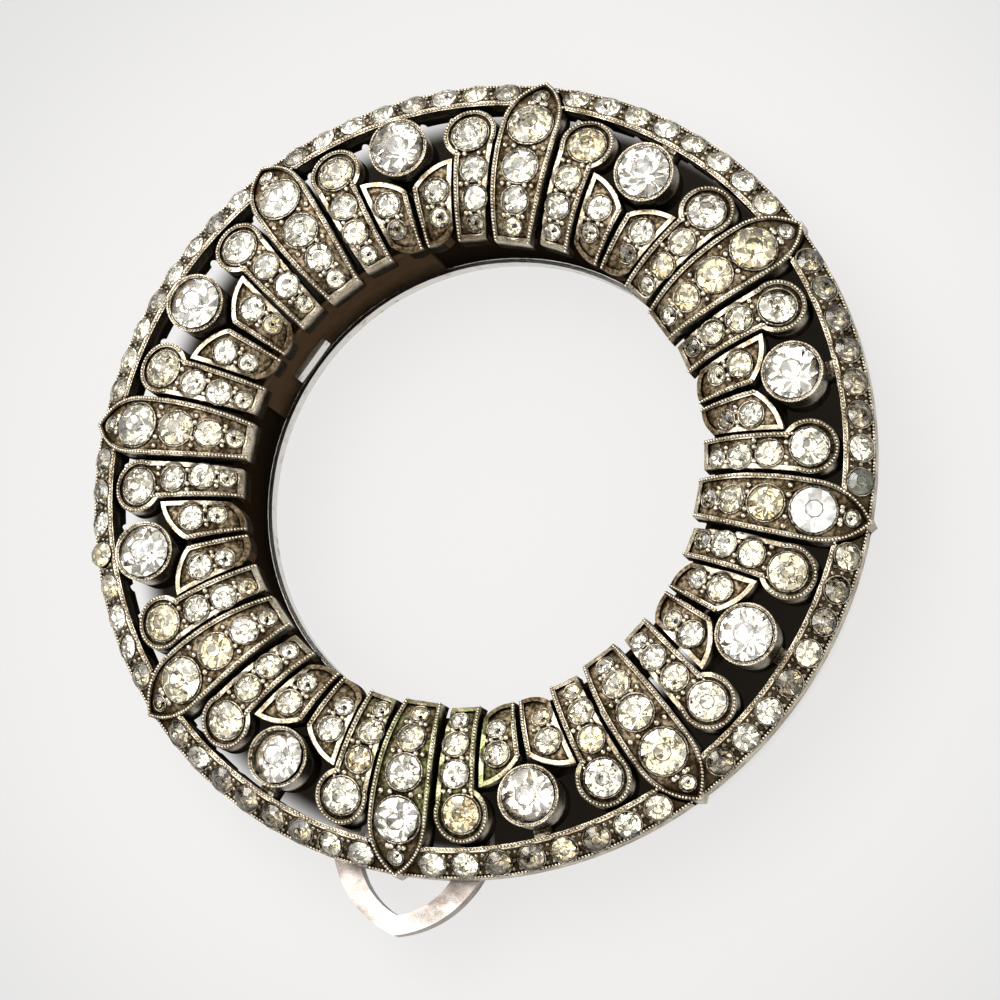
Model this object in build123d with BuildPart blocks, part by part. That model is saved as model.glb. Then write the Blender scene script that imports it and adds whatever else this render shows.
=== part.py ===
from build123d import *
import os
from math import asin, cos, radians, sin, tan

# A ring-shaped dress clip set with clear paste stones, lying on its back.
# +Z is the front, the ring's axis is Z, and the clip leaf points along -Y.
# Lengths are millimetres. Angles run clockwise from +Y, seen from the front.

# Whole ring
sectors = 8
sector_angle = 360 / sectors
setting_clearance = 0.05
overlap = 0.1

# Dome that the plates follow: two arcs that meet at its crest
crest_radius = 20.9
outer_arc = 12.0
inner_arc = 8.0
arc_end_lean = 50
plate_inner_radius = 16.2
plate_end_thickness = 1.3
lip_depth = 0.2
lip_width = 0.3
pocket_rise = 1.0
prism_floor = 4.0
prism_top = 12.0

# Long plates, whose pointed tips cross the rim
long_crest = 9.75
long_thickness = 2.1
long_inner_half_width = 1.3
long_waist_radius = 20.3
long_waist_half_width = 1.88
long_shoulder_radius = 24.4
long_shoulder_half_width = 2.07
long_arch_radius = 26.7
long_arch_half_width = 1.5
long_tip_radius = 28.15

# Medium plates, a round head with a tapering bar
medium_crest = 9.4
medium_thickness = 2.0
head_radius = 1.88
medium_inner_near = 2.0
medium_inner_far = 3.98
medium_outer_near = 2.5
medium_outer_far = 5.05
medium_waist_radius = 22.55
medium_inner_rise = 16.35
medium_inner_fall = 15.98

# Small plates, petals in pairs behind each collet
small_crest = 9.15
small_thickness = 1.9
small_tip = (5.2, 21.5)
small_arch = (6.68, 20.55)
small_bulge_radius = 20.5
small_bulge_gap = 0.25
small_pair_gap = 0.15
small_heel_radius = 16.55
small_heel = (5.1, 15.8)
small_corner = (4.42, 16.7)

# Collets that stand between the rim and the small plates
collet_circle = 23.4
collet_height = 10.0
collet_bottom = 6.3
collet_radius = 2.1
collet_foot_radius = 1.92
collet_hole_radius = 1.15
collet_seat_drop = 0.12
lug_width = 1.1
lug_top = 8.2
lug_bottom = 6.6

# Rim band, whose set face slopes outwards
rim_inner_radius = 26.0
rim_outer_radius = 27.9
rim_edge_width = 0.3
rim_top = 8.45
rim_slope = 45
rim_shoulder_radius = 27.7
rim_bottom = 6.1
rim_inner_drop = 2.6
rim_foot_width = 0.9
rim_stones_per_sector = 8
rim_first_angle = 5.43
rim_stone_circle = 27.05
rim_stone_lean = 32
tip_slit = 0.22
tip_slit_depth = 0.9

# Inner wall from the base ring up to the plates, and the tie under the plates
inner_wall_radius = 17.1
inner_wall_width = 0.35
inner_wall_top = 7.6
outer_tie_radius = 21.4
outer_tie_width = 0.6
outer_tie_bottom = 6.3
outer_tie_top = 7.9
base_ring_radius = 16.8
base_ring_width = 0.5
base_ring_height = 1.0
arm_width = 1.2
arm_thickness = 0.6
arm_belly = 0.9

# Panel in front of the inner wall, with a plain bar on it
panel_radius = 16.65
panel_thickness = 0.5
panel_bottom = 2.0
panel_top = 7.4
panel_start_angle = -23
panel_end_angle = -79
bar_length = 3.4
bar_width = 0.6
bar_height = 1.0
bar_bottom = 3.2
bar_angle = -63.5

# Clip leaf, its hinge pin and the bracket that carries them
pin_circle = 18.9
pin_height = 4.4
pin_radius = 0.5
pin_clearance = 0.04
pin_head_radius = 0.8
pin_head_length = 0.3
barrel_radius = 1.1
leaf_half_width = 3.2
leaf_neck_radius = 20.3
leaf_side = (5.0, 22.9)
leaf_shoulder = (5.6, 26.2)
leaf_arch = (4.3, 29.0)
leaf_tip_radius = 31.85
leaf_thickness = 1.1
leaf_gap = 0.75
hole_near_radius = 22.6
hole_near_side = (2.7, 23.3)
hole_shoulder = (3.75, 25.7)
hole_arch = (2.75, 28.5)
hole_tip_radius = 30.5
ear_gap = 0.1
ear_thickness = 0.8
ear_radius = 1.3
bridge_thickness = 0.8

# Cut of the stones, as shares of the girdle radius
table_share = 0.55
crown_share = 0.36
pavilion_share = 0.8
culet_share = 0.08
seat_depth_share = 0.55
seat_hole_share = 0.36
girdle_lift = 0.08
open_back_above = 0.7
small_stone_sides = 8
main_stone_sides = 12

# Stones of the plates: distance from the axis, angle from the plate's own line, girdle radius
LONG_LARGEST = (24.5, 0.0, 1.55)
#                tip             second          third           inner
LONG_SMALL = [(26.95, 0.0, 0.5), (21.3, 0.0, 1.22), (18.85, 0.0, 0.93), (17.1, 0.0, 0.6)]
HEAD = (23.84, 10.35, 1.27)
#                 outer             middle            inner
MEDIUM_SMALL = [(21.15, 9.4, 0.88), (19.05, 9.1, 0.84), (17.35, 9.25, 0.57)]
#                outer               inner
SMALL_PAIR = [(19.98, 17.39, 0.84), (18.15, 17.5, 0.6)]
COLLET_STONE = 1.8
RIM_STONE = 0.83


def clockwise(radius, angle):
    """Point at a distance from the axis and an angle clockwise from +Y."""
    return (radius * sin(radians(angle)), radius * cos(radians(angle)))


def arc_of(radius):
    return outer_arc if radius > crest_radius else inner_arc


def dome_plane(radius, angle, crest, drop=0.0):
    """Plane square to the dome, its origin a drop below the dome's surface."""
    arc = arc_of(radius)
    lean = asin((radius - crest_radius) / arc)
    out = clockwise(1, angle)
    place = crest_radius + (arc - drop) * sin(lean)
    height = crest - arc + (arc - drop) * cos(lean)
    normal = (out[0] * sin(lean), out[1] * sin(lean), cos(lean))
    return Plane(origin=(out[0] * place, out[1] * place, height), x_dir=(out[1], -out[0], 0), z_dir=normal)


def rim_plane(angle):
    """Plane of a seat on the rim's sloping face, less steep than the face."""
    out = clockwise(1, angle)
    fall = (rim_stone_circle - rim_inner_radius - rim_edge_width) * tan(radians(rim_slope))
    lean = radians(rim_stone_lean)
    normal = (out[0] * sin(lean), out[1] * sin(lean), cos(lean))
    place = (out[0] * rim_stone_circle, out[1] * rim_stone_circle, rim_top - fall)
    return Plane(origin=place, x_dir=(out[1], -out[0], 0), z_dir=normal)


def radial_plane(angle):
    """Upright plane through the axis: its x runs outwards at the angle, its y up."""
    out = clockwise(1, angle)
    return Plane(origin=(0, 0, 0), x_dir=(*out, 0), z_dir=(out[1], -out[0], 0))


def band(inner, width, bottom, top, start=sector_angle / 2, sweep_angle=sector_angle):
    """Stretch of a plain ring, from a start angle anticlockwise."""
    with BuildPart() as stretch:
        with BuildSketch(radial_plane(start)):
            with Locations((inner + width / 2, (bottom + top) / 2)):
                Rectangle(width, top - bottom)
        revolve(axis=Axis.Z, revolution_arc=sweep_angle)
    return stretch.part


def dome_shell(crest, lift, depth):
    """Shell that follows the dome, from a lift above its surface to a depth below it."""

    def at(arc, lean, offset):
        lean = radians(lean)
        return (crest_radius + (arc + offset) * sin(lean), crest - arc + (arc + offset) * cos(lean))

    with BuildPart() as shell:
        with BuildSketch(Plane.XZ):
            with BuildLine():
                ends = {}
                for name, arc, lean in (("in", inner_arc, -arc_end_lean), ("out", outer_arc, arc_end_lean)):
                    for side, offset in (("top", lift), ("low", -depth)):
                        end = at(arc, lean, offset)
                        middle = at(arc, lean / 2, offset)
                        ThreePointArc(at(arc, 0, offset), middle, end)
                        ends[name + side] = end
                Line(ends["intop"], ends["inlow"])
                Line(ends["outtop"], ends["outlow"])
            make_face()
        revolve(axis=Axis.Z)
    return shell.part


def tray(outline, crest, thickness):
    """Plate with a raised lip: the outline's prism cut to the dome, then hollowed to the set field."""
    with BuildPart() as pocket:
        with BuildSketch(Plane.XY.offset(prism_floor)):
            add(outline)
            offset(amount=-lip_width, kind=Kind.INTERSECTION, mode=Mode.REPLACE)
        extrude(amount=prism_top - prism_floor)
        add(dome_shell(crest, pocket_rise, lip_depth), mode=Mode.INTERSECT)
    with BuildPart() as end_relief:
        add(dome_shell(crest, -plate_end_thickness, thickness + overlap))
        thick_from = inner_wall_radius + inner_wall_width / 2
        thick_to = rim_inner_radius + rim_edge_width
        add(band(thick_from, thick_to - thick_from, 0, prism_top, 0, 360), mode=Mode.SUBTRACT)
    with BuildPart() as plate:
        with BuildSketch(Plane.XY.offset(prism_floor)):
            add(outline)
        extrude(amount=prism_top - prism_floor)
        add(dome_shell(crest, 0.0, thickness), mode=Mode.INTERSECT)
        add(pocket.part, mode=Mode.SUBTRACT)
        add(end_relief.part, mode=Mode.SUBTRACT)
    return plate.part


def seat_cutter(radius):
    """Cone for a stone's pavilion, open above its girdle and, under all but the smallest, to the back."""
    wide = radius + setting_clearance
    narrow = seat_hole_share * radius
    depth = seat_depth_share * radius
    rise = girdle_lift + crown_share * radius
    with BuildPart() as cutter:
        with Locations((0, 0, (rise - depth) / 2)):
            Cone(narrow, wide + (wide - narrow) * rise / depth, depth + rise)
        if radius > open_back_above:
            with Locations((0, 0, -depth)):
                Cylinder(narrow, long_thickness + depth, align=(Align.CENTER, Align.CENTER, Align.MAX))
    return cutter.part


def cut_stone(radius, sides):
    """Round faceted stone about its own axis, its girdle just above the seat's edge."""
    with BuildPart() as stone:
        with BuildSketch(Plane.XY.offset(girdle_lift)):
            RegularPolygon(radius, sides)
        with BuildSketch(Plane.XY.offset(girdle_lift + crown_share * radius)):
            RegularPolygon(table_share * radius, sides)
        loft(ruled=True)
        with BuildSketch(Plane.XY.offset(girdle_lift)):
            RegularPolygon(radius, sides)
        with BuildSketch(Plane.XY.offset(girdle_lift - pavilion_share * radius)):
            RegularPolygon(culet_share * radius, sides)
        loft(ruled=True)
    return stone.part


def both_sides(rows):
    """The rows of a plate and of its mirror image."""
    return [(r, side * a, size) for r, a, size in rows for side in (1, -1)]


def collet_plane(angle):
    """Level on which a collet's stone is seated."""
    x, y = clockwise(collet_circle, angle)
    return Plane(origin=(x, y, collet_height - collet_seat_drop), x_dir=(cos(radians(angle)), -sin(radians(angle)), 0))


# Long plate
with BuildSketch() as long_outline:
    with BuildLine():
        inner_corner = (long_inner_half_width, plate_inner_radius)
        shoulder = (long_shoulder_half_width, long_shoulder_radius)
        ThreePointArc(inner_corner, (long_waist_half_width, long_waist_radius), shoulder)
        ThreePointArc(shoulder, (long_arch_half_width, long_arch_radius), (0, long_tip_radius))
        mirror(about=Plane.YZ)
        Line(inner_corner, (-long_inner_half_width, plate_inner_radius))
    make_face()

# Medium plate, to the right of the long plate
head_x, head_y = clockwise(HEAD[0], HEAD[1])
with BuildSketch() as medium_outline:
    with BuildLine():
        Polyline(
            (medium_inner_near, medium_inner_rise),
            (medium_outer_near, head_y),
            (head_x, head_y),
            (medium_outer_far, medium_waist_radius * cos(radians(HEAD[1]))),
            (medium_inner_far, medium_inner_fall),
            close=True,
        )
    make_face()
    with Locations((head_x, head_y)):
        Circle(head_radius)

# Small plate, to the right of the medium plate
pair_line = sector_angle / 2


def beside_pair_line(radius, gap):
    x, y = clockwise(radius, pair_line)
    return (x - gap * cos(radians(pair_line)), y + gap * sin(radians(pair_line)))


with BuildSketch() as small_outline:
    with BuildLine():
        bulge = beside_pair_line(small_bulge_radius, small_bulge_gap)
        heel = beside_pair_line(small_heel_radius, small_pair_gap)
        ThreePointArc(small_tip, small_arch, bulge)
        Line(bulge, heel)
        ThreePointArc(heel, small_heel, small_corner)
        Line(small_corner, small_tip)
    make_face()

# Rim band, one sector long, with its seats and the slit beside the long plate's tip
rim_pitch = (sector_angle - 2 * rim_first_angle) / (rim_stones_per_sector - 1)
rim_angles = [rim_first_angle + step * rim_pitch for step in range(rim_stones_per_sector)]
rim_edge = rim_inner_radius + rim_edge_width
rim_shoulder = rim_top - (rim_shoulder_radius - rim_edge) * tan(radians(rim_slope))
with BuildPart() as slit:
    with BuildSketch(radial_plane(pair_line)):
        with BuildLine():
            Polyline(
                (rim_inner_radius - rim_edge_width, prism_top),
                (rim_inner_radius - rim_edge_width, rim_top - tip_slit_depth),
                (rim_edge, rim_top - tip_slit_depth),
                (rim_shoulder_radius, rim_shoulder - tip_slit_depth),
                (rim_outer_radius + rim_edge_width, rim_shoulder - tip_slit_depth),
                (rim_outer_radius + rim_edge_width, prism_top),
                close=True,
            )
        make_face()
    revolve(axis=Axis.Z, revolution_arc=sector_angle)
    with BuildSketch(Plane.XY.offset(prism_floor)):
        with Locations((tip_slit, 0)):
            add(long_outline.sketch)
    extrude(amount=prism_top - prism_floor, mode=Mode.INTERSECT)

with BuildPart() as rim:
    with BuildSketch(radial_plane(pair_line)):
        with BuildLine():
            Polyline(
                (rim_inner_radius, rim_top),
                (rim_edge, rim_top),
                (rim_shoulder_radius, rim_shoulder),
                (rim_outer_radius, rim_shoulder),
                (rim_outer_radius, rim_bottom),
                (rim_outer_radius - rim_foot_width, rim_bottom),
                (rim_inner_radius, rim_top - rim_inner_drop),
                close=True,
            )
        make_face()
    revolve(axis=Axis.Z, revolution_arc=sector_angle)
    half = rim_stones_per_sector // 2
    sector_rim_angles = rim_angles[:half] + [angle - sector_angle for angle in rim_angles[half:]]
    with Locations([rim_plane(angle) for angle in sector_rim_angles]):
        add(seat_cutter(RIM_STONE), mode=Mode.SUBTRACT)
    add(slit.part, mode=Mode.SUBTRACT)

# Collet with its lug and the curved arm under it, about the +Y line
arm_foot = Vector(base_ring_radius + base_ring_width, base_ring_height / 2)
arm_head = Vector(outer_tie_radius + outer_tie_width / 2, outer_tie_bottom + overlap)
arm_across = (arm_head - arm_foot).normalized().rotate(Axis.Z, 90) * (arm_thickness / 2)
arm_middle = (arm_foot + arm_head) / 2 - arm_across.normalized() * arm_belly
with BuildPart() as collet:
    with BuildSketch(Plane.XY.offset(lug_bottom)):
        with Locations((0, (collet_circle + rim_inner_radius + overlap) / 2)):
            Rectangle(lug_width, rim_inner_radius + overlap - collet_circle)
    extrude(amount=lug_top - lug_bottom)
    with Locations((0, collet_circle, (collet_height + collet_bottom) / 2)):
        Cone(collet_foot_radius, collet_radius, collet_height - collet_bottom)
    with Locations(collet_plane(0)):
        add(seat_cutter(COLLET_STONE), mode=Mode.SUBTRACT)
    with Locations((0, collet_circle, collet_bottom)):
        Cylinder(
            collet_hole_radius,
            (collet_height - collet_bottom) / 2,
            align=(Align.CENTER, Align.CENTER, Align.MIN),
            mode=Mode.SUBTRACT,
        )
    with BuildSketch(Plane.YZ):
        with BuildLine():
            ThreePointArc(arm_foot + arm_across, arm_middle + arm_across, arm_head + arm_across)
            ThreePointArc(arm_foot - arm_across, arm_middle - arm_across, arm_head - arm_across)
            Line(arm_foot + arm_across, arm_foot - arm_across)
            Line(arm_head + arm_across, arm_head - arm_across)
        make_face()
    extrude(amount=arm_width / 2, both=True)

# One sector of the soldered frame, from one collet's line to the next
long_rows = [LONG_LARGEST] + LONG_SMALL
medium_rows = both_sides([HEAD] + MEDIUM_SMALL)
small_rows = both_sides(SMALL_PAIR)
medium = tray(medium_outline.sketch, medium_crest, medium_thickness)
small = tray(small_outline.sketch, small_crest, small_thickness)
with BuildPart() as sector:
    add(tray(long_outline.sketch, long_crest, long_thickness))
    add(medium)
    add(small)
    add(medium.mirror(Plane.YZ))
    add(small.mirror(Plane.YZ))
    for rows, crest in ((long_rows, long_crest), (medium_rows, medium_crest), (small_rows, small_crest)):
        for place, angle, size in rows:
            with Locations(dome_plane(place, angle, crest, lip_depth)):
                add(seat_cutter(size), mode=Mode.SUBTRACT)
    add(rim.part)
    add(band(inner_wall_radius, inner_wall_width, base_ring_height - overlap, inner_wall_top))
    add(band(outer_tie_radius, outer_tie_width, outer_tie_bottom, outer_tie_top))
    add(band(base_ring_radius, base_ring_width, 0, base_ring_height))
    with PolarLocations(0, 1, start_angle=-pair_line):
        add(collet.part)

# Panel below two of the plate groups, with the plain bar on it
with BuildPart() as panel:
    panel_sweep = panel_start_angle - panel_end_angle
    add(band(panel_radius, panel_thickness, panel_bottom, panel_top, panel_start_angle, panel_sweep))
    bar_out = clockwise(panel_radius + overlap - bar_width / 2, bar_angle)
    across = clockwise(1, bar_angle)
    with BuildSketch(Plane(origin=(*bar_out, bar_bottom), x_dir=(across[1], -across[0], 0))):
        Rectangle(bar_length, bar_width)
    extrude(amount=bar_height)

# Hinge bracket on the -Y side: a plate from the inner wall to the tie, with two ears
leaf_line = Plane(origin=(0, 0, 0), x_dir=(-1, 0, 0), z_dir=(0, 0, 1))
leaf_side_plane = Plane(origin=(0, 0, 0), x_dir=(0, -1, 0), z_dir=(-1, 0, 0))
ear_inner = leaf_half_width + ear_gap
ear_outer = ear_inner + ear_thickness
bridge_bottom = outer_tie_bottom
bridge_inner = inner_wall_radius + inner_wall_width / 2
bridge_outer = outer_tie_radius + outer_tie_width / 2
with BuildPart() as bracket:
    with BuildSketch(leaf_line.offset(bridge_bottom)):
        with Locations((0, (bridge_inner + bridge_outer) / 2)):
            Rectangle(2 * ear_outer, bridge_outer - bridge_inner)
    extrude(amount=bridge_thickness)
    with BuildSketch(leaf_side_plane):
        with Locations((pin_circle, pin_height)):
            Circle(ear_radius)
        with Locations((pin_circle, (pin_height + bridge_bottom + overlap) / 2)):
            Rectangle(2 * ear_radius, bridge_bottom + overlap - pin_height)
    extrude(amount=ear_outer, both=True)
    with BuildSketch(leaf_side_plane):
        with Locations((pin_circle, bridge_bottom - 2 * ear_radius)):
            Rectangle(4 * ear_radius, 4 * ear_radius)
    extrude(amount=ear_inner, both=True, mode=Mode.SUBTRACT)
    with BuildSketch(leaf_side_plane):
        with Locations((pin_circle, pin_height)):
            Circle(pin_radius + pin_clearance)
    extrude(amount=2 * ear_outer, both=True, mode=Mode.SUBTRACT)

# Soldered frame
with BuildPart() as frame:
    with PolarLocations(0, sectors):
        add(sector.part)
    add(panel.part)
    add(bracket.part)
frame.part.label = "frame"

# Clip leaf: a barrel round the pin and a flat leaf that widens to an open, pointed shield
leaf_top = rim_bottom - leaf_gap
with BuildPart() as clip_leaf:
    with BuildSketch(leaf_line.offset(leaf_top - leaf_thickness)):
        with BuildLine():
            neck = (leaf_half_width, leaf_neck_radius)
            ThreePointArc(neck, leaf_side, leaf_shoulder)
            ThreePointArc(leaf_shoulder, leaf_arch, (0, leaf_tip_radius))
            Line(neck, (leaf_half_width, pin_circle))
            mirror(about=Plane.YZ)
            Line((leaf_half_width, pin_circle), (-leaf_half_width, pin_circle))
        make_face()
        with BuildLine():
            ThreePointArc((0, hole_near_radius), hole_near_side, hole_shoulder)
            ThreePointArc(hole_shoulder, hole_arch, (0, hole_tip_radius))
            mirror(about=Plane.YZ)
        make_face(mode=Mode.SUBTRACT)
    extrude(amount=leaf_thickness)
    with BuildSketch(leaf_side_plane):
        with Locations((pin_circle, pin_height)):
            Circle(barrel_radius)
    extrude(amount=leaf_half_width, both=True)
    with BuildSketch(leaf_side_plane):
        with Locations((pin_circle, pin_height)):
            Circle(pin_radius + pin_clearance)
    extrude(amount=ear_outer, both=True, mode=Mode.SUBTRACT)
clip_leaf.part.label = "clip_leaf"

# Hinge pin with a riveted head outside each ear
with BuildPart() as hinge_pin:
    with BuildSketch(leaf_side_plane):
        with Locations((pin_circle, pin_height)):
            Circle(pin_radius)
    extrude(amount=ear_outer + setting_clearance + pin_head_length, both=True)
    for side in (1, -1):
        with BuildSketch(leaf_side_plane.offset(side * (ear_outer + setting_clearance))):
            with Locations((pin_circle, pin_height)):
                Circle(pin_head_radius)
        extrude(amount=side * pin_head_length)
hinge_pin.part.label = "hinge_pin"

# Stones that are nodes of their own
main_stones = []
for index in range(sectors):
    line = index * sector_angle
    with BuildPart() as collet_stone:
        with Locations(collet_plane(line - pair_line)):
            add(cut_stone(COLLET_STONE, main_stone_sides))
    collet_stone.part.label = f"collet_stone_{index + 1}"
    main_stones.append(collet_stone.part)
    with BuildPart() as long_stone:
        with Locations(dome_plane(LONG_LARGEST[0], line, long_crest, lip_depth)):
            add(cut_stone(LONG_LARGEST[2], main_stone_sides))
    long_stone.part.label = f"long_plate_stone_{index + 1}"
    main_stones.append(long_stone.part)
    for offset_index, side in enumerate((-1, 1)):
        with BuildPart() as head_stone:
            with Locations(dome_plane(HEAD[0], line + side * HEAD[1], medium_crest, lip_depth)):
                add(cut_stone(HEAD[2], main_stone_sides))
        head_stone.part.label = f"head_stone_{2 * index + offset_index + 1}"
        main_stones.append(head_stone.part)


def stone_field(rows, crest):
    """All sectors' stones of the given rows."""
    with BuildPart() as field:
        for radius, angle, size in rows:
            places = [dome_plane(radius, angle + k * sector_angle, crest, lip_depth) for k in range(sectors)]
            with Locations(places):
                add(cut_stone(size, small_stone_sides))
    return field.part


# Fields of smaller stones
with BuildPart() as long_plate_field:
    add(stone_field(LONG_SMALL, long_crest))
long_plate_field.part.label = "long_plate_field"
with BuildPart() as medium_plate_field:
    add(stone_field(both_sides(MEDIUM_SMALL), medium_crest))
medium_plate_field.part.label = "medium_plate_field"
with BuildPart() as small_plate_field:
    add(stone_field(small_rows, small_crest))
small_plate_field.part.label = "small_plate_field"
with BuildPart() as rim_field:
    with Locations([rim_plane(angle + k * sector_angle) for angle in rim_angles for k in range(sectors)]):
        add(cut_stone(RIM_STONE, small_stone_sides))
rim_field.part.label = "rim_field"

os.makedirs("parts", exist_ok=True)
pieces = [frame.part, clip_leaf.part, hinge_pin.part]
pieces += [long_plate_field.part, medium_plate_field.part, small_plate_field.part, rim_field.part]
pieces += main_stones
for piece in pieces:
    export_step(piece, f"parts/{piece.label}.step")
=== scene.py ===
import math
import random

import bmesh
import bpy
from mathutils import Matrix, Vector


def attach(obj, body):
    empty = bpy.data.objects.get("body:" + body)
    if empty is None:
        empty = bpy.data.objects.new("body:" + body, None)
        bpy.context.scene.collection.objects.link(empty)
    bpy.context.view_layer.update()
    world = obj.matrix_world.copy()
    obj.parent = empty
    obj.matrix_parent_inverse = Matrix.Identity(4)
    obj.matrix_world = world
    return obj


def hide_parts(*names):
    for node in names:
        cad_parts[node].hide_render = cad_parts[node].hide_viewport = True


# Round dress clip set with paste stones. Lengths are millimetres until MM makes them metres.
# Angles are degrees, and run clockwise from +Y, seen from the front.
# Each of the eight sectors is centred on its long plate. The collets sit on the pair lines between them.
MM = 0.001
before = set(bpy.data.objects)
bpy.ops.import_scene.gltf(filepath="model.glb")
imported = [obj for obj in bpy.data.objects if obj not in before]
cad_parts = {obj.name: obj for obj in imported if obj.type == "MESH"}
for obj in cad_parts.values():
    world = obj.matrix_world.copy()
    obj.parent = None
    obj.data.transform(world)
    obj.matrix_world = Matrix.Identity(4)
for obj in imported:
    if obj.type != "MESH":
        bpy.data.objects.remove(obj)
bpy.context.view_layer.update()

SECTORS = 8
SECTOR = 360 / SECTORS
PAIR_LINE = SECTOR / 2

# The plates' dome: its highest circle, the arcs on both sides of it, and each kind's height there
CREST_RADIUS = 20.9
OUTER_ARC = 12.0
INNER_ARC = 8.0
LONG_CREST = 9.75
MEDIUM_CREST = 9.4
SMALL_CREST = 9.15

# How far a plate's field lies below its lip
LIP_DROP = 0.2

# Collets: the circle they stand on, and the heights of their tops and seats
COLLET_CIRCLE = 23.4
COLLET_TOP = 10.0
COLLET_SEAT = 9.88

# Rim: radius and height of its inner edge and of its outer one, and the places and lean of its stones
RIM_INNER = 26.0
RIM_TOP = 8.45
RIM_SHOULDER = (27.78, 7.06)
RIM_STONE_CIRCLE = 27.05
RIM_STONE_HEIGHT = 7.7
RIM_STONE_LEAN = 32
FIRST_RIM_STONE = 5.43
RIM_STONES = 8
RIM_PITCH = (SECTOR - 2 * FIRST_RIM_STONE) / (RIM_STONES - 1)
RIM_ANGLES = [FIRST_RIM_STONE + k * RIM_PITCH for k in range(RIM_STONES)]

# Stones as (distance from the axis, angle from the sector's line, girdle radius), the outermost first
LONG_LARGEST = (24.5, 0.0, 1.55)
LONG_SMALL = [(26.95, 0.0, 0.5), (21.3, 0.0, 1.22), (18.85, 0.0, 0.93), (17.1, 0.0, 0.6)]
HEAD = (23.84, 10.35, 1.27)
MEDIUM_SMALL = [(21.15, 9.4, 0.88), (19.05, 9.1, 0.84), (17.35, 9.25, 0.57)]
SMALL_PAIR = [(19.98, 17.39, 0.84), (18.15, 17.5, 0.6)]
COLLET_STONE = 1.85
RIM_STONE = 0.88

rng = random.Random(8)


# Places on the ring

def clockwise(radius, angle, height=0.0):
    a = math.radians(angle)
    return Vector((radius * math.sin(a), radius * math.cos(a), height))


def dome_arc(radius):
    return OUTER_ARC if radius > CREST_RADIUS else INNER_ARC


def dome_height(radius, crest):
    arc = dome_arc(radius)
    return crest - arc + math.sqrt(arc * arc - (radius - CREST_RADIUS) ** 2)


def seat(origin, normal, angle):
    """Matrix of a seat: its x runs round the ring, its y outwards, its z out of the metal."""
    x = Vector((math.cos(math.radians(angle)), -math.sin(math.radians(angle)), 0))
    z = normal.normalized()
    y = z.cross(x)
    turn = Matrix((x, y, z)).transposed().to_4x4()
    return Matrix.Translation(origin) @ turn


def dome_seat(radius, angle, crest):
    """Seat in a plate's field, under the point of its dome at this radius."""
    arc = dome_arc(radius)
    lean = math.asin((radius - CREST_RADIUS) / arc)
    out = clockwise(1, angle)
    normal = out * math.sin(lean) + Vector((0, 0, math.cos(lean)))
    origin = out * (CREST_RADIUS + (arc - LIP_DROP) * math.sin(lean))
    origin.z = crest - arc + (arc - LIP_DROP) * math.cos(lean)
    return seat(origin, normal, angle)


def rim_seat(angle, radius=RIM_STONE_CIRCLE):
    fall = radius - RIM_STONE_CIRCLE
    upright = 1 / math.tan(math.radians(RIM_STONE_LEAN))
    return seat(clockwise(radius, angle, RIM_STONE_HEIGHT - fall), clockwise(1, angle, upright), angle)


def collet_seat(angle):
    return seat(clockwise(COLLET_CIRCLE, angle, COLLET_SEAT), Vector((0, 0, 1)), angle)


# Materials

# The Mix node's colour sockets, by number because other sockets share their names
MIX_FACTOR, MIX_BELOW, MIX_ABOVE = 0, 6, 7
MIX_RESULT = 2

# Silver: noise values over which one shade gives way to the other, strength of its relief, and roughness
PATCH_FADE = (0.38, 0.62)
TARNISH_RELIEF = 0.8
GRIMY_ROUGHNESS = 0.7
CLEAN_ROUGHNESS = 0.26


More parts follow.
